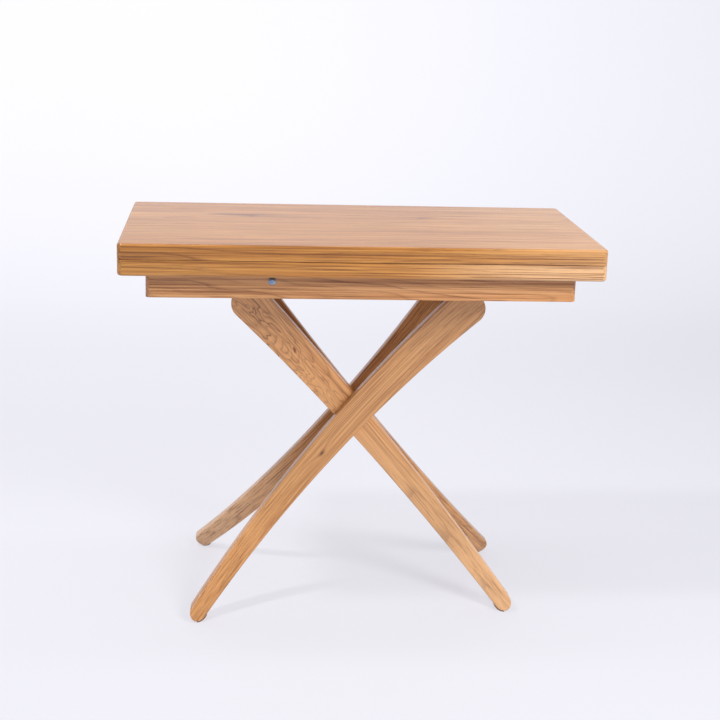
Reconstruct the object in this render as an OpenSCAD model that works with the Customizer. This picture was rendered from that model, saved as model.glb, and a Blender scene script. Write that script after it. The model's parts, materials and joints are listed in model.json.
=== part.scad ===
/* Fold-over table on a crossed, height-adjusting base.
   Two equal leaves lie face to face on a shallow frame. The top turns a quarter
   turn on an off-centre pivot and the upper leaf folds over on it, which doubles
   the table. Two outer and two inner bowed legs cross on one shaft. The outer pair
   hangs on the right from a fixed rail and the inner pair on the left from a board
   that slides in the frame, so the table lowers as the legs spread.
   X runs along the table, Y runs to the back, Z is up and Z = 0 is the floor. */

/* [Top] */
// Height of the table, floor to top surface
table_h = 750; // [740:1:760]
// Length of each leaf along X
top_w = 896; // [886:1:940]
// Depth of each leaf along Y
top_d = 480; // [472:1:490]
// Thickness of one leaf
leaf_t = 29.5; // [28:0.5:32]
// Gap between the two leaves when closed
seam_gap = 0.6; // [0.5:0.1:1.5]
// Plan radius of the leaf corners
leaf_corner_r = 10; // [10:1:16]
// Round-over of the outer arrises of the closed top
leaf_edge_r = 5; // [2:0.5:6]
// Round-over of the arrises at the seam
seam_edge_r = 1; // [0.5:0.25:2]

/* [Frame] */
// Outside length of the frame under the top
frame_w = 799; // [796:1:804]
// Outside depth of the frame
frame_d = 406; // [400:1:410]
// Height of the frame rails
rail_h = 45; // [44:0.5:46]
// Thickness of the frame rails
rail_t = 22; // [20:1:24]
// Plan radius of the frame's outer corners
frame_corner_r = 9; // [5:1:10]
// Thickness of the felt strips that the top turns on
felt_t = 1.5; // [1:0.25:2]

/* [Legs] */
// Sideways reach from the centre to a leg's top pin
pin_x = 207.5; // [206:0.5:208]
// Drop of the top pins below the frame's rails
pin_drop = 35.5; // [35:0.5:37]
// Sideways reach from the centre to the middle of a foot
foot_x = 302; // [296:1:308]
// Radius of a leg's round top end
leg_top_r = 36; // [33:0.5:36]
// Radius of a leg's round foot
leg_foot_r = 16.5; // [14:0.5:18]
// Stand-out of the felt pads under the feet
foot_pad_out = 2; // [0.5:0.25:2.5]
// Thickness of a leg
leg_t = 24; // [22:0.5:25]
// Radius of the bow that carries an outer leg's ends away from the middle
outer_bow_r = 790; // [770:10:840]
// Radius of the bow of an inner leg
inner_bow_r = 860; // [840:10:900]
// Distance from the table's centre plane to the middle of an inner leg at the crossing
inner_leg_y = 13; // [13:0.5:15]
// Gap between the two legs of a cross
leg_gap = 1; // [1:0.1:1.5]

/* [Hardware] */
// Radius of the shaft through the crossing
shaft_r = 6; // [5:0.5:7]
// Radius of the crossbars between the top pins
bar_r = 8; // [7:0.5:9]
// Radial running clearance of shafts and pins
run_gap = 0.06; // [0.03:0.01:0.09]
// Radius of the head of the connector bolts
bolt_head_r = 7.75; // [7:0.25:8.5]

/* [Hidden] */
$fn = 64;
eps = 0.01;
oak = [0.80, 0.58, 0.38];
oak_edge = [0.78, 0.55, 0.33];
oak_dark = [0.66, 0.46, 0.29];
zinc = [0.72, 0.75, 0.80];
steel = [0.45, 0.46, 0.48];
brass = [0.78, 0.64, 0.34];

// Heights of the top, the seam and the frame
seam_z = table_h - leaf_t - seam_gap / 2;
upper_z = seam_z + seam_gap / 2;
lower_z = seam_z - seam_gap / 2 - leaf_t;
rail_top_z = lower_z - felt_t;
rail_low_z = rail_top_z - rail_h;
frame_in_x = frame_w / 2 - rail_t;
frame_in_y = frame_d / 2 - rail_t;

// Leaf hinges: butt hinges let into the seam faces, with their pins on the back edge
hinge_y = top_d / 2;
hinge_xs = [-330, 0, 330];
hinge_len = 64;
hinge_leaf_d = 26;
hinge_leaf_t = 2;
knuckle_r = 3.5;
hinge_pin_r = 1.6;
knuckle_gap = 0.3;
hinge_screw_dx = [-22, 0, 22];
hinge_screw_in = 15;
knuckle_well_r = knuckle_r + 0.5;

// Swivel: a quarter turn about this point puts the hinge line over the frame's middle
swivel_x = -top_d / 4;
swivel_y = top_d / 4;
swivel_r = 6;
swivel_plate_w = 100;
swivel_plate_t = 4;
swivel_screw_in = 38;
stop_r = 8;
stop_len = 16;
stop_gap = 0.5;
stop_reach_y = frame_in_y - stop_r - stop_gap - swivel_y;
stop_reach_x = 120;
swivel_rail_t = 24;
swivel_rail_x1 = swivel_x + stop_reach_y - stop_r - stop_gap;
swivel_rail_x0 = swivel_rail_x1 - 112;
swivel_rail_z = rail_top_z - swivel_rail_t;
swivel_rail_mid_z = rail_top_z - swivel_rail_t / 2;
bush_r = 9;
bush_flange_r = 16;
washer_t = 2;
nut_t = 10;

// Connector bolts and dowels that hold the swivel rail
bolt_x = swivel_rail_x0 + 20;
dowel_x = (swivel_rail_x0 + swivel_rail_x1) / 2 + 29;
bolt_r = 4;
bolt_z = rail_top_z - 12;
bolt_head_t = 4;
bolt_in = 44;
barrel_in = 30;
barrel_r = 6;
barrel_len = 18;
dowel_r = 4;
dowel_depth = 14;
corner_dowel_dz = 11;

// Crossing of the legs
pin_z = rail_low_z - pin_drop;
foot_z = leg_foot_r + foot_pad_out;
leg_a = atan2(pin_z - foot_z, pin_x + foot_x);
arm_up = pin_x / cos(leg_a);
leg_len = (pin_x + foot_x) / cos(leg_a);
arm_down = leg_len - arm_up;
cross_z = pin_z - arm_up * sin(leg_a);
outer_leg_y = inner_leg_y + leg_t + leg_gap;
outer_top_bow = outer_bow_r - sqrt(outer_bow_r * outer_bow_r - arm_up * arm_up);
inner_top_bow = inner_bow_r - sqrt(inner_bow_r * inner_bow_r - arm_up * arm_up);
bar_in = 3;
blind_wood = 8;

// Felt pads under the feet: depth let in, width, and where they start and end round the foot
foot_pad_in = 1.5;
foot_pad_w = 18;
foot_pad_start = 32;
foot_pad_turn = 70;

// Share of the end radii at which a leg's straight sides run
leg_side_in = 0.999;

// Hangers that carry the crossbars
board_low_z = pin_z + leg_top_r + 2;
hanger_t = 4;
hanger_r = 15;
hanger_flange_w = 44;
hanger_flange_d = 22;
outer_hanger_y = outer_leg_y + outer_top_bow - leg_t - hanger_t;
inner_hanger_y = inner_leg_y + inner_top_bow - leg_t - hanger_t;
hanger_screws = [-14, 14];
hanger_screw_in = 12;
screw_r = 2;
screw_len = 12;
screw_head_r = 4;
screw_head_t = 2.4;

// Fixed bearer rail on the right and sliding board on the left
bearer_w = 80;
bearer_h = 38;
slide_w = 72;
slide_t = 16;
slide_top_z = board_low_z + slide_t;
groove_z = board_low_z + 4;
groove_h = 8;
groove_depth = 8;
groove_x0 = -frame_in_x + 3;
groove_x1 = -pin_x + slide_w / 2 + 8;
slide_gap = 0.4;
runner_in = 14;

// Clamp that holds the sliding board
strap_t = 3;
strap_w = 30;
strap_z = slide_top_z + slide_gap;
strap_x0 = -frame_in_x;
strap_x1 = swivel_rail_x0;
strap_tab_h = 20;
clamp_x = -pin_x - 8;
clamp_r = 4;
clamp_gap = 0.4;
knob_r = 19;
knob_boss_r = 8;
knob_lobe_r = 5;
knob_t = 16;
knob_top_z = board_low_z - clamp_gap;

// Rectangle with rounded corners, centred
module plan(w, d, r) {
    square([w - 2 * r, d], center = true);
    square([w, d - 2 * r], center = true);
    for (x = [-1, 1], y = [-1, 1])
        translate([x * (w / 2 - r), y * (d / 2 - r)]) circle(r);
}

// Section through a board's edge: X runs outwards to the plan radius, Y up the board
module edge_section(t, r_plan, r_low, r_high) {
    square([r_plan - r_high, t]);
    square([r_plan - r_low, t / 2]);
    translate([0, r_low]) square([r_plan, t - r_low - r_high]);
    translate([r_plan - r_low, r_low]) circle(r_low);
    intersection() {
        translate([r_plan - r_high, t - r_high]) circle(r_high);
        square([r_plan, t]);
    }
}

// Board with rounded plan corners, standing on Z = 0; the upper round-over is the larger
module board(w, d, t, r_plan, r_low, r_high) {
    translate([0, 0, t / 2]) cube([w - 2 * r_plan, d - 2 * r_plan, t], center = true);
    for (turn = [0, 180]) rotate([0, 0, turn]) {
        translate([0, d / 2 - r_plan, 0]) rotate([90, 0, 90])
            linear_extrude(w - 2 * r_plan, center = true) edge_section(t, r_plan, r_low, r_high);
        translate([w / 2 - r_plan, 0, 0]) rotate([90, 0, 0])
            linear_extrude(d - 2 * r_plan, center = true) edge_section(t, r_plan, r_low, r_high);
        translate([w / 2 - r_plan, d / 2 - r_plan, 0])
            rotate_extrude(angle = 90) edge_section(t, r_plan, r_low, r_high);
        translate([-w / 2 + r_plan, d / 2 - r_plan, 0]) rotate([0, 0, 90])
            rotate_extrude(angle = 90) edge_section(t, r_plan, r_low, r_high);
    }
}

// Countersunk screw, head flush with Z = 0 and pointing down
module flat_screw(len) {
    translate([0, 0, -screw_head_t]) cylinder(h = screw_head_t, r1 = screw_r, r2 = screw_head_r);
    translate([0, 0, -len]) cylinder(h = len, r = screw_r);
}

// Places children at the screws of the leaf hinges
module at_hinge_screws() {
    for (x = hinge_xs, dx = hinge_screw_dx)
        translate([x + dx, hinge_y - hinge_screw_in, 0]) children();
}

// Recess of the three leaf hinges, cut into the seam face at Z = 0 with the wood below
module hinge_recess() {
    for (x = hinge_xs)
        translate([x - hinge_len / 2 - 0.5, hinge_y - hinge_leaf_d - 0.3, -hinge_leaf_t])
            cube([hinge_len + 1, hinge_leaf_d + 1, hinge_leaf_t + 5]);
}

// Round wells for the knuckles along the back edge
module knuckle_wells() {
    for (x = hinge_xs)
        translate([x, hinge_y, seam_z]) rotate([0, 90, 0])
            cylinder(h = hinge_len + 1, r = knuckle_well_r, center = true);
}

// One knuckle barrel of a leaf hinge from x0 to x1, with its bore
module knuckle(x0, x1, bore) {
    translate([x0, hinge_y, seam_z]) rotate([0, 90, 0]) difference() {
        cylinder(h = x1 - x0, r = knuckle_r);
        translate([0, 0, -1]) cylinder(h = x1 - x0 + 2, r = bore);
    }
}

// Flat of a leaf hinge, from z0 up, with the pin's bore kept clear
module hinge_flat(x0, x1, z0, bore) {
    difference() {
        translate([x0, hinge_y - hinge_leaf_d, z0])
            cube([x1 - x0, hinge_leaf_d, hinge_leaf_t]);
        translate([x0 - 1, hinge_y, seam_z]) rotate([0, 90, 0]) cylinder(h = x1 - x0 + 2, r = bore);
    }
}

module upper_leaf() {
    color(oak) difference() {
        translate([0, 0, upper_z]) board(top_w, top_d, leaf_t, leaf_corner_r, seam_edge_r, leaf_edge_r);
        translate([0, 0, upper_z]) mirror([0, 0, 1]) hinge_recess();
        knuckle_wells();
        translate([0, 0, upper_z + hinge_leaf_t]) mirror([0, 0, 1]) at_hinge_screws() flat_screw(screw_len);
    }
}

module lower_leaf() {
    color(oak) difference() {
        translate([0, 0, seam_z - seam_gap / 2]) mirror([0, 0, 1])
            board(top_w, top_d, leaf_t, leaf_corner_r, seam_edge_r, leaf_edge_r);
        translate([0, 0, seam_z - seam_gap / 2]) hinge_recess();
        knuckle_wells();
        translate([0, 0, seam_z - seam_gap / 2 - hinge_leaf_t]) at_hinge_screws() flat_screw(screw_len);
        translate([swivel_x, swivel_y, lower_z]) {
            translate([0, 0, -1]) linear_extrude(swivel_plate_t + 1) plan(swivel_plate_w, swivel_plate_w, 8);
            cylinder(h = swivel_plate_t + 5, r = 13);
            at_plate_screws() translate([0, 0, -eps]) cylinder(h = screw_len + swivel_plate_t, r = screw_r);
        }
        translate([swivel_x + stop_reach_x, swivel_y + stop_reach_y, lower_z - 1]) cylinder(h = 13, r = stop_r);
    }
}

// Lower flats carry the two outer knuckles of each hinge
module lower_hinge_plates() {
    third = hinge_len / 3;
    z = seam_z - seam_gap / 2 - hinge_leaf_t;
    color(brass) difference() {
        union() {
            for (x = hinge_xs) {
                difference() {
                    hinge_flat(x - hinge_len / 2, x + hinge_len / 2, z, hinge_pin_r);
                    translate([x - third / 2 - knuckle_gap, hinge_y - knuckle_r - 0.5, z - 1])
                        cube([third + 2 * knuckle_gap, 10, 10]);
                }
                knuckle(x - hinge_len / 2, x - third / 2 - knuckle_gap, hinge_pin_r);
                knuckle(x + third / 2 + knuckle_gap, x + hinge_len / 2, hinge_pin_r);
            }
        }
        translate([0, 0, z + hinge_leaf_t]) at_hinge_screws() flat_screw(screw_len);
    }
}

// Upper flats carry the middle knuckle of each hinge, which turns on the pin
module upper_hinge_plates() {
    third = hinge_len / 3;
    z = upper_z;
    color(brass) difference() {
        union() {
            for (x = hinge_xs) {
                difference() {
                    hinge_flat(x - hinge_len / 2, x + hinge_len / 2, z, hinge_pin_r + run_gap);
                    for (s = [-1, 1])
                        translate([x + s * hinge_len / 2, hinge_y, z])
                            cube([2 * third, 2 * knuckle_r + 1, 10], center = true);
                }
                knuckle(x - third / 2, x + third / 2, hinge_pin_r + run_gap);
            }
        }
        translate([0, 0, z]) mirror([0, 0, 1]) at_hinge_screws() flat_screw(screw_len);
    }
}

module lower_hinge_screws() {
    color(brass) translate([0, 0, seam_z - seam_gap / 2]) at_hinge_screws() flat_screw(screw_len);
}

module upper_hinge_screws() {
    color(brass) translate([0, 0, upper_z]) mirror([0, 0, 1]) at_hinge_screws() flat_screw(screw_len);
}

module leaf_hinge_pins() {
    color(steel) for (x = hinge_xs)
        translate([x, hinge_y, seam_z]) rotate([0, 90, 0]) cylinder(h = hinge_len, r = hinge_pin_r, center = true);
}

// Felt dots that keep the closed leaves apart
module leaf_pads() {
    color("dimgray") for (x = [-1, 1], y = [-1, 1])
        translate([x * (top_w / 2 - 40), y * (top_d / 2 - 40), seam_z - seam_gap / 2])
            cylinder(h = seam_gap, r = 8);
}

module at_plate_screws() {
    for (x = [-1, 1], y = [-1, 1])
        translate([x * swivel_screw_in, y * swivel_screw_in, 0]) children();
}

module swivel_plate() {
    color(zinc) translate([swivel_x, swivel_y, lower_z]) difference() {
        linear_extrude(swivel_plate_t) plan(swivel_plate_w - 0.4, swivel_plate_w - 0.4, 8);
        translate([0, 0, -1]) cylinder(h = swivel_plate_t + 2, r = swivel_r);
        mirror([0, 0, 1]) at_plate_screws() flat_screw(screw_len);
    }
}

module swivel_plate_screws() {
    color(zinc) translate([swivel_x, swivel_y, lower_z]) mirror([0, 0, 1]) at_plate_screws() flat_screw(screw_len);
}

// Pivot bolt: its head is welded on the plate inside the leaf
module swivel_bolt() {
    color(zinc) translate([swivel_x, swivel_y, 0]) {
        translate([0, 0, lower_z + swivel_plate_t]) cylinder(h = 4, r = 12);
        translate([0, 0, swivel_rail_z - washer_t - nut_t - 4])
            cylinder(h = lower_z + swivel_plate_t + 4 - (swivel_rail_z - washer_t - nut_t - 4), r = swivel_r);
    }
}

module swivel_washer() {
    color(zinc) translate([swivel_x, swivel_y, swivel_rail_z - washer_t - 0.2]) difference() {
        cylinder(h = washer_t, r = 15);
        translate([0, 0, -1]) cylinder(h = washer_t + 2, r = swivel_r + 0.3);
    }
}

module swivel_nut() {
    color(zinc) translate([swivel_x, swivel_y, swivel_rail_z - washer_t - nut_t - 0.3]) difference() {
        cylinder(h = nut_t, r = 10.8, $fn = 6);
        translate([0, 0, -1]) cylinder(h = nut_t + 2, r = swivel_r);
    }
}

// Dowel that meets the rear rail at rest and the swivel rail after a quarter turn
module swivel_stop() {
    color(oak_dark) translate([swivel_x + stop_reach_x, swivel_y + stop_reach_y, lower_z - stop_len])
        cylinder(h = stop_len + 12, r = stop_r);
}

// Long rail in its front position: square ends, rounded outer corners
module long_rail() {
    difference() {
        translate([0, 0, rail_low_z]) linear_extrude(rail_h) intersection() {
            plan(frame_w, frame_d, frame_corner_r);
            translate([-frame_w / 2, -frame_d / 2]) square([frame_w, rail_t]);
        }
        translate([groove_x0, -frame_in_y - groove_depth, groove_z])
            cube([groove_x1 - groove_x0, groove_depth + 1, groove_h]);
        at_rail_dowels() rail_dowel();
        connector_bolt_hole();
    }
}

// Places children at the front ends of the swivel rail, the bearer rail and the end rails
module at_rail_dowels() {
    translate([dowel_x, -frame_in_y, swivel_rail_mid_z]) children();
    for (s = [-1, 1], up = [-1, 1])
        translate([s * (frame_w - rail_t) / 2, -frame_in_y, rail_low_z + rail_h / 2 + up * corner_dowel_dz])
            children();
    for (s = [-1, 1])
        translate([pin_x + s * 26, -frame_in_y, board_low_z + bearer_h / 2]) children();
}

module rail_dowel() {
    rotate([90, 0, 0]) cylinder(h = 2 * dowel_depth, r = dowel_r, center = true);
}

module connector_bolt_hole() {
    translate([bolt_x, -frame_d / 2 - 1, bolt_z]) rotate([-90, 0, 0])
        cylinder(h = rail_t + bolt_in + 2, r = bolt_r);
}

module front_rail() {
    color(oak_edge) long_rail();
}

module rear_rail() {
    color(oak_edge) mirror([0, 1, 0]) long_rail();
}

module end_rail(side) {
    color(oak_edge) difference() {
        translate([side * (frame_w / 2 - rail_t / 2), 0, rail_low_z + rail_h / 2])
            cube([rail_t, 2 * frame_in_y, rail_h], center = true);
        for (s = [0, 1]) mirror([0, s, 0]) at_rail_dowels() rail_dowel();
        if (side < 0) strap_screw(-1);
    }
}

module left_end_rail() {
    end_rail(-1);
}

module right_end_rail() {
    end_rail(1);
}

// Triangular glue blocks in the frame's right-hand corners and low ones at its top on the left
module corner_blocks() {
    block = 36;
    low = 14;
    color(oak_dark) for (sx = [-1, 1], sy = [-1, 1]) {
        h = sx > 0 ? rail_h - 8 : low;
        translate([sx * frame_in_x, sy * frame_in_y, rail_top_z - h - 1])
            linear_extrude(h) polygon([[0, 0], [-sx * block, 0], [0, -sy * block]]);
    }
}

module swivel_rail() {
    color(oak_dark) difference() {
        translate([swivel_rail_x0, -frame_in_y, swivel_rail_z])
            cube([swivel_rail_x1 - swivel_rail_x0, 2 * frame_in_y, swivel_rail_t]);
        translate([swivel_x, swivel_y, swivel_rail_z - 1]) cylinder(h = swivel_rail_t + 2, r = bush_r);
        for (s = [0, 1]) mirror([0, s, 0]) {
            at_rail_dowels() rail_dowel();
            connector_bolt_hole();
            translate([bolt_x, -frame_in_y + barrel_in, swivel_rail_z - 1]) cylinder(h = barrel_len + 1, r = barrel_r);
        }
        strap_screw(1);
    }
}

// Flanged bush that the pivot bolt turns in
module swivel_bush() {
    color("whitesmoke") translate([swivel_x, swivel_y, swivel_rail_z]) difference() {
        union() {
            cylinder(h = swivel_rail_t, r = bush_r);
            translate([0, 0, swivel_rail_t]) cylinder(h = felt_t - 0.1, r = bush_flange_r);
        }
        translate([0, 0, -1]) cylinder(h = swivel_rail_t + 4, r = swivel_r + run_gap);
    }
}

// Felt strips along the tops of the rails
module glide_strips() {
    w = 10;
    color("dimgray") for (s = [-1, 1]) {
        translate([0, s * (frame_d / 2 - rail_t / 2), rail_top_z + felt_t / 2])
            cube([frame_w - 40, w, felt_t], center = true);
        translate([s * (frame_w / 2 - rail_t / 2), 0, rail_top_z + felt_t / 2])
            cube([w, 2 * frame_in_y - 20, felt_t], center = true);
    }
}

// Domed bolts with a hexagon socket, through the long rails into the swivel rail
module connector_bolts() {
    dome_r = (bolt_head_r * bolt_head_r + bolt_head_t * bolt_head_t) / (2 * bolt_head_t);
    color(zinc) for (s = [0, 1]) mirror([0, s, 0])
        translate([bolt_x, -frame_d / 2, bolt_z]) rotate([90, 0, 0]) difference() {
            union() {
                intersection() {
                    translate([0, 0, bolt_head_t - dome_r]) sphere(dome_r);
                    cylinder(h = bolt_head_t + 1, r = bolt_head_r + 1);
                }
                translate([0, 0, -rail_t - bolt_in]) cylinder(h = rail_t + bolt_in + eps, r = bolt_r);
            }
            translate([0, 0, bolt_head_t - 3]) cylinder(h = 5, r = 2.9, $fn = 6);
        }
}

// Barrel nuts in the swivel rail that the connector bolts screw into
module barrel_nuts() {
    color(zinc) for (s = [0, 1]) mirror([0, s, 0]) difference() {
        translate([bolt_x, -frame_in_y + barrel_in, swivel_rail_z]) cylinder(h = barrel_len, r = barrel_r);
        connector_bolt_hole();
    }
}

module frame_dowels() {
    color(oak_dark) for (s = [0, 1]) mirror([0, s, 0]) at_rail_dowels() rail_dowel();
}

// Fixed rail that carries the right-hand hangers
module bearer_rail() {
    color(oak_dark) difference() {
        translate([pin_x - bearer_w / 2, -frame_in_y, board_low_z]) cube([bearer_w, 2 * frame_in_y, bearer_h]);
        for (s = [0, 1]) mirror([0, s, 0]) at_rail_dowels() rail_dowel();
        at_right_hangers() hanger_screw_set();
    }
}

// Places children at the two right-hand hangers: Y = 0 is the ear's outer face, inboard is +Y
module at_right_hangers() {
    for (s = [0, 1]) mirror([0, s, 0]) translate([pin_x, -outer_hanger_y - hanger_t, 0]) children();
}

// The same for the left-hand hangers, which stand closer together
module at_left_hangers() {
    for (s = [0, 1]) mirror([0, s, 0]) translate([-pin_x, -inner_hanger_y - hanger_t, 0]) children();
}

// Angle bracket: an ear with the crossbar's bearing, and a flange under the board
module hanger() {
    difference() {
        union() {
            translate([0, hanger_t, pin_z]) rotate([90, 0, 0]) linear_extrude(hanger_t) {
                circle(hanger_r);
                translate([-hanger_r, 0]) square([2 * hanger_r, board_low_z - pin_z]);
            }
            translate([-hanger_flange_w / 2, 0, board_low_z - hanger_t])
                cube([hanger_flange_w, hanger_t + hanger_flange_d, hanger_t]);
        }
        translate([0, -1, pin_z]) rotate([-90, 0, 0]) cylinder(h = hanger_t + 2, r = bar_r + run_gap);
        hanger_screw_set();
    }
}

// Round-headed screws that hold one hanger, driven up into the board
module hanger_screw_set() {
    for (x = hanger_screws)
        translate([x, hanger_t + hanger_screw_in, board_low_z - hanger_t]) {
            cylinder(h = hanger_t + screw_len, r = screw_r);
            translate([0, 0, -screw_head_t]) cylinder(h = screw_head_t, r = screw_head_r);
        }
}

module right_hangers() {
    color(steel) at_right_hangers() hanger();
}

module right_hanger_screws() {
    color(zinc) at_right_hangers() hanger_screw_set();
}

module left_hangers() {
    color(steel) at_left_hangers() hanger();
}

module left_hanger_screws() {
    color(zinc) at_left_hangers() hanger_screw_set();
}

// Slotted strap over the sliding board, fixed to the end rail and the swivel rail
module guide_strap() {
    color(zinc) difference() {
        union() {
            translate([strap_x0, -strap_w / 2, strap_z]) cube([strap_x1 - strap_x0, strap_w, strap_t]);
            for (x = [strap_x0, strap_x1 - strap_t])
                translate([x, -strap_w / 2, strap_z]) cube([strap_t, strap_w, strap_tab_h]);
        }
        translate([strap_x0 + 8, -clamp_r - 0.4, strap_z - 1])
            cube([strap_x1 - strap_x0 - 16, 2 * clamp_r + 0.8, strap_t + 2]);
        strap_screw(-1);
        strap_screw(1);
    }
}

// The two round-headed screws through one upturned end of the strap; end is -1 or 1
module strap_screw(end) {
    x = end < 0 ? strap_x0 + strap_t : strap_x1 - strap_t;
    for (y = [-9, 9]) translate([x, y, strap_z + strap_tab_h - 7]) rotate([0, end * 90, 0]) {
        cylinder(h = strap_t + screw_len, r = screw_r);
        translate([0, 0, -screw_head_t]) cylinder(h = screw_head_t, r = screw_head_r);
    }
}

module guide_strap_screws() {
    color(zinc) {
        strap_screw(-1);
        strap_screw(1);
    }
}

module slide_board() {
    color(oak_dark) difference() {
        translate([-pin_x - slide_w / 2, -frame_in_y + slide_gap, board_low_z])
            cube([slide_w, 2 * (frame_in_y - slide_gap), slide_t]);
        slide_runner_strips(0);
        at_left_hangers() hanger_screw_set();
        translate([clamp_x, 0, board_low_z - 1]) cylinder(h = slide_t + 2, r = clamp_r + clamp_gap);
    }
}

// Runner strips in the ends of the sliding board, which run in the long rails' grooves
module slide_runner_strips(inset) {
    for (s = [0, 1]) mirror([0, s, 0])
        translate([-pin_x - slide_w / 2 + inset, -frame_in_y - groove_depth + slide_gap, groove_z + slide_gap])
            cube([slide_w - 2 * inset, groove_depth + runner_in, groove_h - 2 * slide_gap]);
}

module slide_runners() {
    color("whitesmoke") slide_runner_strips(0);
}

// Threaded plate above the strap that the clamp stud pulls down
module clamp_nut_plate() {
    color(zinc) translate([clamp_x, 0, strap_z + strap_t + clamp_gap]) difference() {
        translate([-10, -13, 0]) cube([20, 26, 5]);
        translate([0, 0, -1]) cylinder(h = 7, r = clamp_r + run_gap);
    }
}

module clamp_stud() {
    color(zinc) translate([clamp_x, 0, knob_top_z - 10])
        cylinder(h = strap_z + strap_t + 8 - (knob_top_z - 10), r = clamp_r);
}

// Five-lobed hand knob
module clamp_knob() {
    color([0.12, 0.12, 0.13]) translate([clamp_x, 0, knob_top_z - knob_t]) difference() {
        union() {
            cylinder(h = knob_t, r = knob_boss_r);
            cylinder(h = knob_t - 5, r = knob_r - knob_lobe_r);
            for (a = [0:72:359]) rotate([0, 0, a])
                translate([knob_r - knob_lobe_r, 0, 0]) cylinder(h = knob_t - 5, r = knob_lobe_r);
        }
        translate([0, 0, knob_t - 10]) cylinder(h = 11, r = clamp_r);
    }
}

// Outline of a leg along X, pivot at the origin, top end at -X and foot at +X
module leg_outline() {
    slope = asin((leg_top_r - leg_foot_r) / leg_len);
    top_in = leg_top_r * leg_side_in;
    foot_in = leg_foot_r * leg_side_in;
    top_p = [-arm_up + top_in * sin(slope), top_in * cos(slope)];
    foot_p = [arm_down + foot_in * sin(slope), foot_in * cos(slope)];
    translate([-arm_up, 0]) circle(leg_top_r);
    translate([arm_down, 0]) circle(leg_foot_r);
    polygon([[top_p[0], -top_p[1]], [foot_p[0], -foot_p[1]], foot_p, top_p]);
}

// Bowed slab, ends away towards -Y
module bowed_slab(bow, t) {
    translate([0, -bow, 0]) difference() {
        cylinder(h = 3 * leg_top_r, r = bow + t / 2, center = true, $fn = 360);
        cylinder(h = 4 * leg_top_r, r = bow - t / 2, center = true, $fn = 360);
    }
}

// Pad round the underside of a foot, standing out by reach; under is 1 or -1 along local Z
module foot_pad(bow, under, reach) {
    intersection() {
        translate([arm_down, 0, 0]) rotate([90, 0, 0])
            rotate([0, 0, under > 0 ? foot_pad_start : -foot_pad_start - foot_pad_turn])
            rotate_extrude(angle = foot_pad_turn)
            translate([leg_foot_r - foot_pad_in, -200]) square([foot_pad_in + reach, 400]);
        bowed_slab(bow, foot_pad_w);
    }
}

// Bowed leg; the shaft's bore starts at bore_y, the bar's stops bar_y out, under is its underside
module leg(bow, pivot_r, bore_y, bar_y, under) {
    difference() {
        intersection() {
            rotate([90, 0, 0]) linear_extrude(500, center = true) leg_outline();
            bowed_slab(bow, leg_t);
            translate([0, -150, 0]) cube([1000, 400, 200], center = true);
        }
        translate([0, bore_y, 0]) rotate([-90, 0, 0]) cylinder(h = 3 * leg_t, r = pivot_r);
        translate([-arm_up, -bar_y, 0]) rotate([-90, 0, 0]) cylinder(h = bar_y + leg_t, r = bar_r);
        foot_pad(bow, under, 4);
    }
}

// Front outer leg's place: down to the left
module at_outer_leg() {
    translate([0, -outer_leg_y, cross_z]) rotate([0, 180 - leg_a, 0]) children();
}

// Front inner leg's place: down to the right
module at_inner_leg() {
    translate([0, -inner_leg_y, cross_z]) rotate([0, leg_a, 0]) children();
}

// Outer leg with a blind bore pressed on the shaft
module outer_leg() {
    at_outer_leg() leg(outer_bow_r, shaft_r, blind_wood - leg_t / 2, outer_top_bow + bar_in, 1);
}

// Inner leg, which runs on the shaft
module inner_leg() {
    at_inner_leg() leg(inner_bow_r, shaft_r + run_gap, -leg_t, inner_top_bow + bar_in, -1);
}

module front_outer_leg() {
    color(oak) outer_leg();
}

module front_inner_leg() {
    color(oak) inner_leg();
}

module rear_outer_leg() {
    color(oak) mirror([0, 1, 0]) outer_leg();
}

module rear_inner_leg() {
    color(oak) mirror([0, 1, 0]) inner_leg();
}

module outer_foot_pads() {
    color("saddlebrown") for (s = [0, 1]) mirror([0, s, 0]) at_outer_leg() foot_pad(outer_bow_r, 1, foot_pad_out);
}

module inner_foot_pads() {
    color("saddlebrown") for (s = [0, 1]) mirror([0, s, 0]) at_inner_leg() foot_pad(inner_bow_r, -1, foot_pad_out);
}

// Crossbar at the height of the top pins, reaching the same way to both sides
module crossbar(x, reach) {
    color(steel) translate([x, -reach, pin_z]) rotate([-90, 0, 0]) cylinder(h = 2 * reach, r = bar_r);
}

module right_crossbar() {
    crossbar(pin_x, outer_leg_y + outer_top_bow + bar_in);
}

module left_crossbar() {
    crossbar(-pin_x, inner_leg_y + inner_top_bow + bar_in);
}

// Shaft through all four legs, blind in the two outer ones
module centre_shaft() {
    reach = outer_leg_y + leg_t / 2 - blind_wood;
    color(steel) translate([0, -reach, cross_z]) rotate([-90, 0, 0]) cylinder(h = 2 * reach, r = shaft_r);
}

// Ring on the shaft, centred at Y = y
module shaft_ring(y, thick, r) {
    translate([0, y - thick / 2, cross_z]) rotate([-90, 0, 0]) difference() {
        cylinder(h = thick, r = r);
        translate([0, 0, -1]) cylinder(h = thick + 2, r = shaft_r + run_gap);
    }
}

// Disc between the two inner legs
module centre_spacer() {
    color("whitesmoke") shaft_ring(0, 2 * inner_leg_y - leg_t - 0.4, 24);
}

// Discs between the inner and the outer legs
module centre_washers() {
    color("whitesmoke") for (s = [-1, 1])
        shaft_ring(s * (inner_leg_y + leg_t / 2 + leg_gap / 2), leg_gap - 0.3, 12);
}

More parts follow.
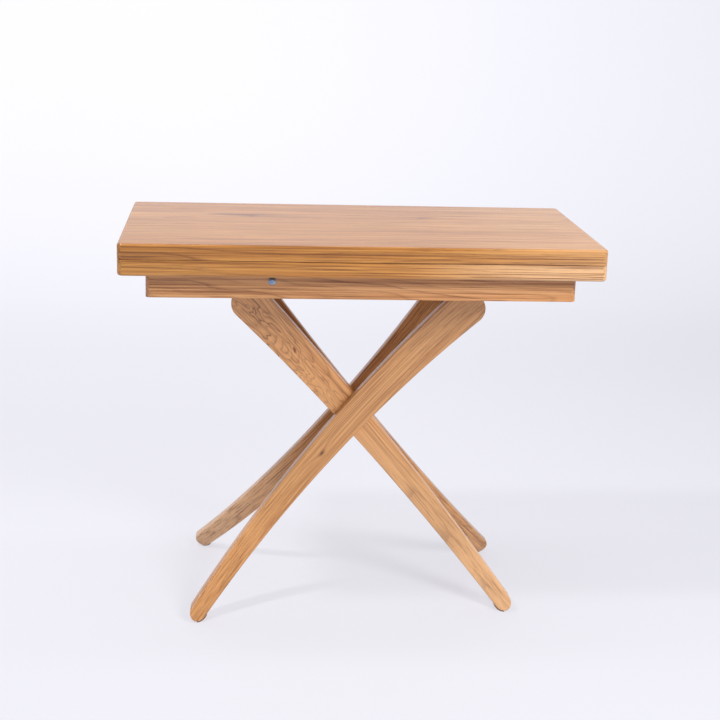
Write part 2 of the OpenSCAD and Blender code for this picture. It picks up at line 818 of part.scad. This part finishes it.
upper_leaf();
upper_hinge_plates();
upper_hinge_screws();
lower_leaf();
lower_hinge_plates();
lower_hinge_screws();
leaf_hinge_pins();
leaf_pads();
swivel_plate();
swivel_plate_screws();
swivel_bolt();
swivel_washer();
swivel_nut();
swivel_stop();
front_rail();
rear_rail();
left_end_rail();
right_end_rail();
corner_blocks();
swivel_rail();
swivel_bush();
glide_strips();
connector_bolts();
barrel_nuts();
frame_dowels();
bearer_rail();
right_hangers();
right_hanger_screws();
guide_strap();
guide_strap_screws();
slide_board();
slide_runners();
left_hangers();
left_hanger_screws();
clamp_nut_plate();
clamp_knob();
clamp_stud();
front_outer_leg();
rear_outer_leg();
right_crossbar();
centre_shaft();
centre_spacer();
centre_washers();
outer_foot_pads();
front_inner_leg();
rear_inner_leg();
left_crossbar();
inner_foot_pads();
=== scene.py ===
"""Fold-over oak table on a bowed, crossed base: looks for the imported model."""
import json
import math

import bmesh
import bpy
from mathutils import Matrix, Vector

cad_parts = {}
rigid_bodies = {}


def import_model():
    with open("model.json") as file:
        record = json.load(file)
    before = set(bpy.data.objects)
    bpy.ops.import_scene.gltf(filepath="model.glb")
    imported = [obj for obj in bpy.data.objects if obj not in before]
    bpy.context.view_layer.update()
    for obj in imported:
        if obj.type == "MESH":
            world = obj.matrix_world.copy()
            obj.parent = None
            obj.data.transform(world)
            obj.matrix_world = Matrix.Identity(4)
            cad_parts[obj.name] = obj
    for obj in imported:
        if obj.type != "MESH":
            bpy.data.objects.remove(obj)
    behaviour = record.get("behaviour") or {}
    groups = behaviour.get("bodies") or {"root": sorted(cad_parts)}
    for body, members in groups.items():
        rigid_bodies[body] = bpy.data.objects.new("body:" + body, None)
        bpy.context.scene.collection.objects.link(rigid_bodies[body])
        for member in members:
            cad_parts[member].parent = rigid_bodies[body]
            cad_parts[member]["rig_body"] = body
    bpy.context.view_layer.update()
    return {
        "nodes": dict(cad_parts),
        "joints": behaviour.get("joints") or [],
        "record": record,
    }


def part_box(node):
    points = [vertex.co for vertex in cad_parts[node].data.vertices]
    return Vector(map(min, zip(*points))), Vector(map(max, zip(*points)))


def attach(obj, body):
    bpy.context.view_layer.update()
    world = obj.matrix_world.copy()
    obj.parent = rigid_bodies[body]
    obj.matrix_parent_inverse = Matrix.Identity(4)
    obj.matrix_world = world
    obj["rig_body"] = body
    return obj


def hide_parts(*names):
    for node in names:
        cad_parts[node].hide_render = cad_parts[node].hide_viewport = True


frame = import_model()

JOINTS = {j["name"]: j for j in frame["joints"]}
NODES = frame["nodes"]
SCENE = bpy.context.scene

# ---------------------------------------------------------------- node helpers


class Graph:
    """Short calls for building a shader node tree."""

    def __init__(self, tree):
        self.tree = tree

    def put(self, kind, inputs=None, **settings):
        node = self.tree.nodes.new(kind)
        for name, value in settings.items():
            setattr(node, name, value)
        for name, value in (inputs or {}).items():
            socket = node.inputs[name]
            if isinstance(value, bpy.types.NodeSocket):
                self.tree.links.new(value, socket)
            else:
                socket.default_value = value
        return node

    def math(self, op, a, b=0.0):
        return self.put("ShaderNodeMath", {0: a, 1: b}, operation=op).outputs[0]

    def vec(self, op, a, b=(0, 0, 0)):
        node = self.put("ShaderNodeVectorMath", {0: a, 1: b}, operation=op)
        return node.outputs["Value" if op == "LENGTH" else "Vector"]

    def noise(self, vector, detail=3.0, rough=0.55, distortion=0.0):
        node = self.put("ShaderNodeTexNoise", {
            "Vector": vector, "Scale": 1.0, "Detail": detail, "Roughness": rough,
            "Distortion": distortion})
        return node.outputs[0]

    def span(self, value, low, high, to_low=0.0, to_high=1.0):
        """Smooth step from low to high, held at both ends."""
        node = self.put("ShaderNodeMapRange", {
            0: value, 1: low, 2: high, 3: to_low, 4: to_high},
            interpolation_type="SMOOTHSTEP", clamp=True)
        return node.outputs[0]

    def mix(self, factor, a, b):
        node = self.put("ShaderNodeMix", data_type="RGBA")
        for index, value in ((0, factor), (6, a), (7, b)):
            if isinstance(value, bpy.types.NodeSocket):
                self.tree.links.new(value, node.inputs[index])
            else:
                node.inputs[index].default_value = value
        return node.outputs[2]


def srgb(r, g, b):
    """Linear colour from 0-255 screen values."""
    def lin(c):
        c /= 255.0
        return c / 12.92 if c <= 0.04045 else ((c + 0.055) / 1.055) ** 2.4
    return (lin(r), lin(g), lin(b), 1.0)


def new_material(name):
    """An empty node material and its graph."""
    material = bpy.data.materials.new(name)
    material.use_nodes = True
    material.node_tree.nodes.clear()
    return material, Graph(material.node_tree)


def finish_material(graph, shader):
    graph.put("ShaderNodeOutputMaterial", {"Surface": shader.outputs[0]})


# ---------------------------------------------------------------- materials


def oak(name, seed, pith, light, mid, dark, along="X", attribute=None, centre=(0, 0, 0),
        ring=0.0052, tint=1.0, taper=0.012, warp=0.010, knots=(), coat=0.25, rough=0.42,
        contrast=1.0, streak=1.0, pores=1.0, gloss_coat=0.20,
        pale_wood_and_painted_light=None, band=0.34, figure=None):
    """Lacquered or bare oak as a solid texture: growth rings round a pith, pores and streaks.

    pith is the ring centre across the grain in metres. Each knot is
    (along, across, size, swirl, darkness) and bends the rings round itself. figure is
    (amount, start, stop) for whorled rings. The pale-end tuple (start, stop, amount) along the
    board pales the wood toward one end: painted light where the lamps reach more, and on the
    lower leaf partly the board's own paler tone.
    band and streak set how strong the fine lines are, and pores how dark the pores are.
    """
    material, g = new_material(name)
    light, mid, dark = (tuple(c * tint for c in tone[:3]) + (1.0,) for tone in (light, mid, dark))
    if attribute:
        base = g.put("ShaderNodeAttribute", attribute_name=attribute).outputs["Vector"]
    else:
        base = g.put("ShaderNodeTexCoord").outputs["Object"]
        base = g.vec("SUBTRACT", base, centre)
        if along == "Y":
            turned = g.put("ShaderNodeVectorRotate", {
                "Vector": base, "Axis": (0, 0, 1), "Angle": math.radians(90)})
            base = turned.outputs[0]
    shift = (seed * 1.37, seed * 0.73, seed * 0.41)
    moved = g.vec("ADD", base, shift)
    slow = g.noise(g.vec("MULTIPLY", moved, (2.4, 13.0, 13.0)), 2.0)
    fast = g.noise(g.vec("MULTIPLY", moved, (9.0, 55.0, 55.0)), 2.0)

    split = g.put("ShaderNodeSeparateXYZ", {0: base})
    lengthwise, across = split.outputs[0], split.outputs[1]
    flat = g.vec("MULTIPLY", g.vec("SUBTRACT", base, (0, pith[0], pith[1])), (0, 1, 1))
    radius = g.vec("LENGTH", flat)
    radius = g.math("ADD", radius, g.math("MULTIPLY", lengthwise, taper))
    radius = g.math("ADD", radius, g.math("MULTIPLY", g.math("SUBTRACT", slow, 0.5), warp * 2))
    radius = g.math("ADD", radius, g.math("MULTIPLY", g.math("SUBTRACT", fast, 0.5), warp * 0.16))
    if figure:
        amount, start, stop = figure
        swirl = g.noise(g.vec("MULTIPLY", moved, (12.0, 34.0, 34.0)), 2.0, 0.45, 0.6)
        swirl = g.math("MULTIPLY", g.math("SUBTRACT", swirl, 0.5), g.span(lengthwise, start, stop))
        swirl = g.math("MULTIPLY", swirl, g.span(across, 0.016, 0.002))
        radius = g.math("ADD", radius, g.math("MULTIPLY", swirl, 2 * amount))
    knot_shade = None
    for k_along, k_across, size, swirl, darkness in knots:
        dx = g.math("MULTIPLY", g.math("SUBTRACT", lengthwise, k_along), 0.42)
        dy = g.math("SUBTRACT", across, k_across)
        near = g.math("ADD", g.math("MULTIPLY", dx, dx), g.math("MULTIPLY", dy, dy))
        fall = g.math("EXPONENT", g.math("MULTIPLY", near, -1.0 / (size * size)))
        radius = g.math("ADD", radius, g.math("MULTIPLY", fall, swirl))
        if darkness:
            core = g.math("EXPONENT", g.math("MULTIPLY", near, -14.0 / (size * size)))
            core = g.math("MULTIPLY", core, darkness)
            knot_shade = core if knot_shade is None else g.math("MAXIMUM", knot_shade, core)
    phase = g.math("FRACT", g.math("DIVIDE", radius, ring))

    # a dark porous line at the start of each ring, and slowly deepening latewood after it
    early = g.span(phase, 0.30, 0.02)
    late = g.math("MULTIPLY", g.span(phase, 0.45, 1.0), 0.35)
    year = g.noise(g.vec("MULTIPLY", g.put("ShaderNodeCombineXYZ", {0: radius, 1: seed}).outputs[0],
                         (150.0, 1.0, 1.0)), 1.0)
    ring_dark = g.math("MULTIPLY", g.math("MAXIMUM", early, late), g.span(year, 0.32, 0.68, 0.25, 1.0))

    # streaks, broad changes of tone and short open pores
    streaks = g.noise(g.vec("MULTIPLY", moved, (3.0, 260.0, 260.0)), 3.0, 0.6)
    broad = g.noise(g.vec("MULTIPLY", moved, (1.1, 18.0, 18.0)), 2.0, 0.5)
    fibre = g.noise(g.vec("MULTIPLY", moved, (70.0, 2200.0, 2200.0)), 2.0, 0.5)
    pore = g.math("MULTIPLY", g.span(fibre, 0.60, 0.72),
                  g.math("ADD", 0.25, g.math("MULTIPLY", early, 0.75)))

    tone = g.math("ADD", g.math("MULTIPLY", broad, 0.45), g.math("MULTIPLY", streaks, 0.55))
    colour = g.mix(g.span(tone, 0.38, 0.62), mid, light)
    colour = g.mix(g.math("MULTIPLY", ring_dark, 0.80 * contrast), colour, dark)
    pale = (light[0] * 1.28, light[1] * 1.36, light[2] * 1.55, 1.0)
    # paler wood toward one end of the board: painted light where the lamps reach more, at the leaves'
    # right ends and toward the legs' feet below the tabletop's shadow; on the lower leaf partly the
    # board's own paler tone
    if pale_wood_and_painted_light:
        start, stop, amount = pale_wood_and_painted_light
        pale_and_lit = g.math("ADD", lengthwise, g.math("MULTIPLY", g.math("SUBTRACT", broad, 0.5), 0.30))
        colour = g.mix(g.span(pale_and_lit, start, stop, 0.0, amount), colour, PALE_WOOD_AND_LIGHT)
    # fine lines and wider bands, each partly darker and partly paler than the board
    lines = g.noise(g.vec("MULTIPLY", moved, (2.6, 430.0, 430.0)), 3.0, 0.65)
    bands = g.noise(g.vec("MULTIPLY", moved, (3.6, 210.0, 210.0)), 4.0, 0.70)
    for grain, depth in ((lines, 0.75), (bands, band)):
        colour = g.mix(g.math("MULTIPLY", g.span(grain, 0.46, 0.40), depth * streak), colour, dark)
        colour = g.mix(g.math("MULTIPLY", g.span(grain, 0.55, 0.64), depth * 0.6 * streak), colour, pale)
    pore_tone = (dark[0] * 0.45, dark[1] * 0.40, dark[2] * 0.35, 1.0)
    colour = g.mix(g.math("MULTIPLY", pore, 0.45 * pores), colour, pore_tone)
    if knot_shade is not None:
        colour = g.mix(knot_shade, colour, (dark[0] * 0.30, dark[1] * 0.24, dark[2] * 0.20, 1.0))

    # the pores are sunk and dull under the lacquer
    gloss = g.math("ADD", rough - 0.05, g.math("MULTIPLY", streaks, 0.10))
    gloss = g.math("ADD", gloss, g.math("MULTIPLY", pore, 0.20))
    height = g.math("SUBTRACT", g.math("MULTIPLY", streaks, 0.4),
                    g.math("ADD", g.math("MULTIPLY", pore, 1.0), g.math("MULTIPLY", early, 0.3)))
    bump = g.put("ShaderNodeBump", {"Strength": 0.35, "Distance": 0.00025, "Height": height})
    shader = g.put("ShaderNodeBsdfPrincipled", {
        "Base Color": colour, "Roughness": gloss, "Normal": bump.outputs[0],
        "Coat Weight": coat, "Coat Roughness": gloss_coat})
    finish_material(g, shader)
    return material


def metal(name, base, worn, rough, metallic=1.0, brushed=(40.0, 40.0, 40.0), tint=None, bump=0.15):
    """Metal or coated metal with fine scratches and dull patches."""
    material, g = new_material(name)
    place = g.put("ShaderNodeTexCoord").outputs["Object"]
    patch = g.noise(g.vec("MULTIPLY", place, (60.0, 60.0, 60.0)), 4.0, 0.6)
    line = g.noise(g.vec("MULTIPLY", place, tuple(40.0 * b for b in brushed)), 3.0, 0.6)
    colour = g.mix(g.span(patch, 0.35, 0.70), base, worn)
    if tint:
        haze = g.noise(g.vec("MULTIPLY", place, (180.0, 180.0, 180.0)), 1.0)
        colour = g.mix(g.math("MULTIPLY", g.span(haze, 0.4, 0.7), 0.5), colour, tint)
    colour = g.mix(g.math("MULTIPLY", g.span(line, 0.52, 0.70), 0.25), colour, worn)
    gloss = g.math("ADD", rough - 0.06, g.math("MULTIPLY", patch, 0.12))
    gloss = g.math("ADD", gloss, g.math("MULTIPLY", g.span(line, 0.5, 0.8), 0.10))
    relief = g.put("ShaderNodeBump", {"Strength": bump, "Distance": 0.0002, "Height": line})
    shader = g.put("ShaderNodeBsdfPrincipled", {
        "Base Color": colour, "Metallic": metallic, "Roughness": gloss, "Normal": relief.outputs[0]})
    finish_material(g, shader)
    return material


def felt(name, base, fleck):
    """Pressed wool felt: matted fibres and pale flecks."""
    material, g = new_material(name)
    place = g.put("ShaderNodeTexCoord").outputs["Object"]
    hair = g.noise(g.vec("MULTIPLY", place, (900.0, 900.0, 900.0)), 4.0, 0.7, 1.5)
    mat = g.noise(g.vec("MULTIPLY", place, (120.0, 120.0, 120.0)), 3.0)
    colour = g.mix(g.span(hair, 0.45, 0.75), base, fleck)
    colour = g.mix(g.math("MULTIPLY", mat, 0.4), colour, base)
    relief = g.put("ShaderNodeBump", {"Strength": 0.8, "Distance": 0.0006, "Height": hair})
    shader = g.put("ShaderNodeBsdfPrincipled", {
        "Base Color": colour, "Roughness": g.span(hair, 0.2, 0.8, 0.85, 1.0),
        "Sheen Weight": 0.3, "Normal": relief.outputs[0]})
    finish_material(g, shader)
    return material


def plastic(name, base, worn, rough, grain):
    """Moulded plastic with a fine spark-eroded texture and handling shine."""
    material, g = new_material(name)
    place = g.put("ShaderNodeTexCoord").outputs["Object"]
    grit = g.noise(g.vec("MULTIPLY", place, (grain, grain, grain)), 3.0, 0.6)
    patch = g.noise(g.vec("MULTIPLY", place, (70.0, 70.0, 70.0)), 2.0)
    colour = g.mix(g.span(patch, 0.35, 0.75), base, worn)
    colour = g.mix(g.math("MULTIPLY", g.span(grit, 0.5, 0.8), 0.3), colour, worn)
    relief = g.put("ShaderNodeBump", {"Strength": 0.4, "Distance": 0.0002, "Height": grit})
    shader = g.put("ShaderNodeBsdfPrincipled", {
        "Base Color": colour, "Roughness": g.span(patch, 0.2, 0.8, rough - 0.08, rough + 0.08),
        "Normal": relief.outputs[0]})
    finish_material(g, shader)
    return material


OAK_LIGHT = srgb(200, 140, 68)
OAK_MID = srgb(180, 117, 48)
OAK_DARK = srgb(112, 62, 24)
# pale tone for the lighter end of a board: mostly painted light, partly the lower leaf's own paler wood
PALE_WOOD_AND_LIGHT = srgb(226, 184, 140)
RAW_LIGHT = srgb(206, 168, 122)
RAW_MID = srgb(188, 146, 100)
RAW_DARK = srgb(146, 104, 66)

# ---------------------------------------------------------------- mesh helpers

WELD = 2e-6
FLAT_WITHIN = math.radians(0.4)
SHARP_FROM = math.radians(35)


def link(name, mesh):
    """A new object in the scene that shows the mesh."""
    piece = bpy.data.objects.new(name, mesh)
    SCENE.collection.objects.link(piece)
    return piece


def dress(piece, material):
    """Gives the whole piece one material."""
    piece.data.materials.clear()
    piece.data.materials.append(material)


def eased_copy(node, name, width, material, segments=3):
    """A copy of a CAD node with its arrises eased, which stands for the node."""
    mesh = bpy.data.meshes.new(name)
    bm = bmesh.new()
    bm.from_mesh(NODES[node].data)
    bmesh.ops.remove_doubles(bm, verts=bm.verts, dist=WELD)
    bmesh.ops.dissolve_degenerate(bm, dist=WELD, edges=bm.edges)
    bmesh.ops.dissolve_limit(bm, angle_limit=FLAT_WITHIN, verts=bm.verts, edges=bm.edges)
    bm.to_mesh(mesh)
    bm.free()
    for layer in list(mesh.attributes):
        if layer.name == "custom_normal":
            mesh.attributes.remove(layer)
    mesh.shade_smooth()
    piece = link(name, mesh)
    bevel = piece.modifiers.new("eased_arris", "BEVEL")
    bevel.width = width
    bevel.segments = segments
    bevel.limit_method = "ANGLE"
    bevel.angle_limit = SHARP_FROM
    bevel.harden_normals = True
    bevel.use_clamp_overlap = True
    dress(piece, material)
    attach(piece, NODES[node]["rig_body"])
    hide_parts(node)


# ---------------------------------------------------------------- legs

PIN = Vector(JOINTS["leg_fold"]["pos_m"])
CROSS = Vector(JOINTS["leg_cross"]["pos_m"])
LEG_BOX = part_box("front_outer_leg")
LEG_TOP_R = LEG_BOX[1][2] - PIN.z
LEG_FOOT_R = 0.0165
FOOT_PAD_OUT = 0.002
FOOT_Z = LEG_FOOT_R + FOOT_PAD_OUT
FOOT_X = -LEG_BOX[0][0] - LEG_FOOT_R
LEG_T = 0.024
# distance from the centre plane at the crossing, and radius of the bow
INNER = (0.013, 0.860)
OUTER = (0.038, 0.790)
ARRIS = 0.0026
LEG_ANGLE = math.atan2(PIN.z - FOOT_Z, PIN.x + FOOT_X)
ARM_UP = PIN.x / math.cos(LEG_ANGLE)
ARM_DOWN = (PIN.x + FOOT_X) / math.cos(LEG_ANGLE) - ARM_UP
SIDE_TILT = math.asin((LEG_TOP_R - LEG_FOOT_R) / (ARM_UP + ARM_DOWN))
BOARD_BOW = 0.10
FOOT_STEPS, SIDE_STEPS, TOP_STEPS, ARRIS_STEPS = 12, 72, 20, 4


def half_outline(inset):
    """Foot tip to top tip along the upper side of a leg, drawn in by inset."""
    turn = math.pi / 2 - SIDE_TILT
    foot_r, top_r = LEG_FOOT_R - inset, LEG_TOP_R - inset
    points = []
    for i in range(FOOT_STEPS + 1):
        a = turn * i / FOOT_STEPS
        points.append((ARM_DOWN + foot_r * math.cos(a), foot_r * math.sin(a)))
    start = points[-1]
    end = (-ARM_UP + top_r * math.cos(turn), top_r * math.sin(turn))
    for i in range(1, SIDE_STEPS):
        f = i / SIDE_STEPS
        points.append((start[0] + (end[0] - start[0]) * f, start[1] + (end[1] - start[1]) * f))
    for i in range(TOP_STEPS + 1):
        a = turn + (math.pi - turn) * i / TOP_STEPS
        points.append((-ARM_UP + top_r * math.cos(a), top_r * math.sin(a)))
    return points


def leg_layers():
    """Inset and depth of each ring of points, from the table's side of the leg outwards."""
    half = LEG_T / 2
    layers = []
    for i in range(ARRIS_STEPS + 1):
        a = math.pi / 2 * i / ARRIS_STEPS
        layers.append((ARRIS * (1 - math.sin(a)), half - ARRIS * (1 - math.cos(a))))
    for i in range(ARRIS_STEPS + 1):
        a = math.pi / 2 * (ARRIS_STEPS - i) / ARRIS_STEPS
        layers.append((ARRIS * (1 - math.sin(a)), -half + ARRIS * (1 - math.cos(a))))
    return layers


def make_leg(name, node, arc, down_left, rear, material):
    """One bowed, tapered leg with eased arrises; grain runs with the board it was sawn from.

    arc is INNER or OUTER. A rear leg is the front one mirrored in the centre plane.
    """
    mid_y, bow_r = arc
    bm = bmesh.new()
    grain = bm.verts.layers.float_vector.new("grain")
    tilt = math.pi - LEG_ANGLE if down_left else LEG_ANGLE
    rings = []
    for inset, depth in leg_layers():
        upper = half_outline(inset)
        loop = upper + [(s, -w) for s, w in reversed(upper[1:-1])]
        ring = []
        for s, w in loop:
            y = -bow_r + math.sqrt((bow_r + depth) ** 2 - s * s)
            x = s * math.cos(tilt) + w * math.sin(tilt)
            z = -s * math.sin(tilt) + w * math.cos(tilt)
            place = Vector((x, y - mid_y, z + CROSS.z))
            if rear:
                place.y = -place.y
            vert = bm.verts.new(place)
            vert[grain] = (s, w, depth + BOARD_BOW * (y - depth))
            ring.append(vert)
        rings.append(ring)
    count = len(rings[0])
    for a, b in zip(rings, rings[1:]):
        for i in range(count):
            j = (i + 1) % count
            bm.faces.new((a[i], a[j], b[j], b[i]))
    half = count // 2
    for ring in (rings[0], rings[-1]):
        bm.faces.new((ring[0], ring[1], ring[-1]))
        for i in range(1, half - 1):
            bm.faces.new((ring[i], ring[i + 1], ring[count - i - 1], ring[count - i]))
        bm.faces.new((ring[half - 1], ring[half], ring[half + 1]))
    bmesh.ops.recalc_face_normals(bm, faces=bm.faces)
    mesh = bpy.data.meshes.new(name)
    bm.to_mesh(mesh)
    bm.free()
    mesh.shade_smooth()
    piece = link(name, mesh)
    dress(piece, material)
    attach(piece, NODES[node]["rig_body"])
    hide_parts(node)


leg_tones = dict(light=srgb(202, 148, 94), mid=srgb(182, 125, 72), dark=srgb(118, 68, 34),
                 attribute="grain", coat=0.4, gloss_coat=0.28)
# the front inner and rear outer legs are painted paler toward their feet: painted light for the lamp on
# the right and for the tabletop's shadow over their tops
make_leg("front_outer_leg_bowed", "front_outer_leg", OUTER, True, False,
         oak("oak_front_outer_leg", 3.1, (0.055, -0.075), warp=0.007, taper=0.010, contrast=0.6,
             streak=0.6, tint=1.06, knots=((0.095, 0.002, 0.012, 0.004, 0.85),), **leg_tones))
make_leg("front_inner_leg_bowed", "front_inner_leg", INNER, False, False,
         oak("oak_front_inner_leg", 7.7, (-0.012, -0.080), ring=0.0046, warp=0.009, taper=0.012,
             contrast=1.3, streak=0.55, tint=1.18, figure=(0.020, 0.02, -0.05),
             knots=((-0.085, -0.009, 0.026, 0.012, 0.0),), pale_wood_and_painted_light=(-0.05, 0.50, 0.6), **leg_tones))
make_leg("rear_inner_leg_bowed", "rear_inner_leg", INNER, False, True,
         oak("oak_rear_inner_leg", 12.4, (0.030, 0.090), warp=0.009, contrast=0.7, **leg_tones))
make_leg("rear_outer_leg_bowed", "rear_outer_leg", OUTER, True, True,
         oak("oak_rear_outer_leg", 17.9, (-0.035, 0.080), warp=0.009, contrast=0.7, tint=1.08,
             pale_wood_and_painted_light=(0.0, 0.45, 0.6), **leg_tones))

# ---------------------------------------------------------------- top and frame

LEAF_ARRIS, RAIL_ARRIS, BOARD_ARRIS, BLOCK_ARRIS = 0.0004, 0.0012, 0.0010, 0.0006
leaf_tones = dict(light=OAK_LIGHT, mid=OAK_MID, dark=OAK_DARK)
LEAF_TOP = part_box("upper_leaf")[1][2]
# both leaves are painted paler toward their right ends: painted light from the lamp on the right, and on
# the lower leaf partly the board's own paler tone
upper_oak = oak("oak_upper_leaf", 21.3, (0.09, -0.17), centre=(0, 0, LEAF_TOP), ring=0.0060,
                warp=0.012, taper=0.006, coat=0.35, rough=0.42, band=0.5,
                pores=1.9, pale_wood_and_painted_light=(0.05, 0.45, 0.30), tint=0.90, **leaf_tones)
lower_oak = oak("oak_lower_leaf", 34.9, (0.02, -0.11), centre=(0, 0, LEAF_TOP), ring=0.0056,
                warp=0.012, taper=0.014, coat=0.35, rough=0.42,
                pale_wood_and_painted_light=(0.0, 0.40, 0.75), tint=0.94, **leaf_tones)
eased_copy("upper_leaf", "upper_leaf_board", LEAF_ARRIS, upper_oak, 2)
eased_copy("lower_leaf", "lower_leaf_board", LEAF_ARRIS, lower_oak, 2)

rail_z = (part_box("front_rail")[0][2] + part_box("front_rail")[1][2]) / 2
rail_tones = dict(light=srgb(206, 154, 102), mid=srgb(186, 130, 80), dark=srgb(118, 70, 38))
front_oak = oak("oak_front_rail", 41.2, (-0.11, -0.035), centre=(0, 0, rail_z), warp=0.016, taper=0.05,
                contrast=0.95, tint=1.10,
                knots=((-0.36, -0.02, 0.07, 0.045, 0.0), (-0.13, 0.004, 0.012, 0.006, 0.6)), **rail_tones)
rear_oak = oak("oak_rear_rail", 47.5, (0.10, -0.05), centre=(0, 0, rail_z), taper=-0.02, **rail_tones)
end_oak = oak("oak_end_rails", 52.8, (0.08, -0.06), along="Y", centre=(0, 0, rail_z), **rail_tones)
for node, material in (("front_rail", front_oak), ("rear_rail", rear_oak),
                       ("left_end_rail", end_oak), ("right_end_rail", end_oak)):
    eased_copy(node, node + "_wood", RAIL_ARRIS, material)

raw_tones = dict(light=RAW_LIGHT, mid=RAW_MID, dark=RAW_DARK, coat=0.0, rough=0.62)
raw_y = oak("bare_oak_crosswise", 61.7, (0.07, 0.55), along="Y", **raw_tones)
raw_x = oak("bare_oak_blocks", 66.1, (0.05, 0.58), **raw_tones)
for node in ("swivel_rail", "bearer_rail", "slide_board"):
    eased_copy(node, node + "_wood", BOARD_ARRIS, raw_y)
for node in ("corner_blocks", "swivel_stop"):
    eased_copy(node, node + "_wood", BLOCK_ARRIS, raw_x)
dress(NODES["frame_dowels"], raw_y)

zinc = metal("bright_zinc", srgb(176, 186, 200), srgb(140, 148, 162), 0.28,
             tint=srgb(84, 146, 214))
black_steel = metal("black_coated_steel", srgb(34, 34, 36), srgb(58, 58, 60), 0.48, metallic=0.2,
                    brushed=(12.0, 12.0, 12.0), bump=0.3)
brass = metal("satin_brass", srgb(190, 152, 84), srgb(142, 110, 60), 0.34, brushed=(2.0, 30.0, 30.0))
grey_felt = felt("grey_felt", srgb(58, 56, 54), srgb(96, 93, 90))
brown_felt = felt("brown_felt", srgb(112, 70, 42), srgb(146, 100, 66))
nylon = plastic("natural_nylon", srgb(216, 213, 203), srgb(190, 186, 174), 0.45, 700.0)
black_plastic = plastic("black_moulding", srgb(26, 26, 27), srgb(44, 44, 45), 0.5, 1400.0)

BY_SLOT = {"zinc": zinc, "dark_steel": black_steel, "brass": brass, "felt": grey_felt,
           "brown_felt": brown_felt, "nylon": nylon, "black_plastic": black_plastic}
# width in metres of the eased edges on the hardware that has them
EASED = {"right_hangers": 0.0005, "left_hangers": 0.0005, "guide_strap": 0.0004,
         "clamp_knob": 0.0012, "clamp_nut_plate": 0.0005, "swivel_plate": 0.0003,
         "right_crossbar": 0.0008, "left_crossbar": 0.0008, "swivel_nut": 0.0005}
for row in frame["record"]["subparts"]:
    node, slot = row["node"], row["material_slot"]
    if slot not in BY_SLOT:
        continue
    if node in EASED:
        eased_copy(node, node + "_eased", EASED[node], BY_SLOT[slot])
    else:
        dress(NODES[node], BY_SLOT[slot])

# ---------------------------------------------------------------- studio


def studio_sweep():
    """Floor that curves up into a wall behind the table. It glows as a light source, more strongly toward
    the wall and less to the right: painted light on the backdrop, which also lifts the shadows under the
    table.
    """
    bm = bmesh.new()
    near, bend, radius, wall, half, steps = -16.0, 2.6, 1.8, 7.0, 14.0, 24
    line = [(near, 0.0), (0.0, 0.0), (bend, 0.0)]
    for i in range(1, steps + 1):
        a = math.pi / 2 * i / steps
        line.append((bend + radius * math.sin(a), radius * (1 - math.cos(a))))
    line.append((bend + radius, wall))
    rows = [[bm.verts.new((x, y, z)) for x in (-half, half)] for y, z in line]
    for a, b in zip(rows, rows[1:]):
        bm.faces.new((a[0], a[1], b[1], b[0]))
    mesh = bpy.data.meshes.new("studio_sweep")
    bm.to_mesh(mesh)
    bm.free()
    mesh.shade_smooth()
    piece = link("studio_sweep", mesh)
    material, g = new_material("glowing_pale_paper")
    place = g.put("ShaderNodeTexCoord").outputs["Object"]
    mottled = g.noise(g.vec("MULTIPLY", place, (0.6, 0.6, 0.6)), 2.0)
    colour = g.mix(mottled, (0.20, 0.20, 0.212, 1.0), (0.216, 0.216, 0.228, 1.0))
    split = g.put("ShaderNodeSeparateXYZ", {0: place})
    # the glow is painted light: stronger toward the wall, weaker toward the right
    glow = g.math("SUBTRACT", g.span(split.outputs[1], 1.6, 4.2, 0.66, 0.87),
                  g.span(split.outputs[0], -0.6, 2.6, 0.0, 0.12))
    shader = g.put("ShaderNodeBsdfPrincipled", {
        "Base Color": colour, "Roughness": 0.75,
        "Emission Color": (0.87, 0.865, 0.93, 1.0), "Emission Strength": glow})
    finish_material(g, shader)
    dress(piece, material)


def softbox(name, place, aim, size, power, glossy=True):
    """A square or oblong soft light; a light that isn't glossy leaves no glare on the lacquer."""
    light = bpy.data.lights.new(name, "AREA")
    light.shape = "RECTANGLE"
    light.size, light.size_y = size
    light.energy = power
    lamp = bpy.data.objects.new(name, light)
    lamp.visible_glossy = glossy
    lamp.location = place
    lamp.rotation_euler = (Vector(aim) - Vector(place)).to_track_quat("-Z", "Y").to_euler()
    SCENE.collection.objects.link(lamp)


def place_camera():
    """Camera at the front, left of the middle and looking down; angles in radians."""
    focal, width, sensor = 1503.3, 720.0, 36.0
    yaw, pitch, roll = 0.08367, 0.26070, 0.02947
    place = (-0.2291, -2.9117, 1.2534)
    forward = Vector((math.sin(yaw) * math.cos(pitch), math.cos(yaw) * math.cos(pitch), -math.sin(pitch)))
    side = Vector((math.cos(yaw), -math.sin(yaw), 0))
    up = side.cross(forward)
    right = side * math.cos(roll) + up * math.sin(roll)
    above = -side * math.sin(roll) + up * math.cos(roll)
    camera = bpy.data.cameras.new("camera")
    camera.sensor_width = sensor
    camera.lens = focal / width * sensor
    rig = bpy.data.objects.new("camera", camera)
    turn = Matrix((right, above, -forward)).transposed().to_4x4()
    rig.matrix_world = Matrix.Translation(place) @ turn
    SCENE.collection.objects.link(rig)
    SCENE.camera = rig


studio_sweep()
softbox("key_left", (-2.1, -0.9, 3.6), (0, 0, 0.3), (0.38, 0.38), 66)
softbox("fill_right", (1.45, -1.9, 1.95), (0.2, 0, 0.45), (0.9, 0.9), 62, glossy=False)
softbox("wall_wash", (0, 0.4, 4.2), (0, 4.4, 1.4), (4.0, 1.2), 80)
world = bpy.data.worlds.new("studio")
world.use_nodes = True
background = world.node_tree.nodes["Background"]
background.inputs["Color"].default_value = (0.90, 0.91, 1.0, 1.0)
background.inputs["Strength"].default_value = 0.45
SCENE.world = world
SCENE.view_settings.view_transform = "Standard"
place_camera()
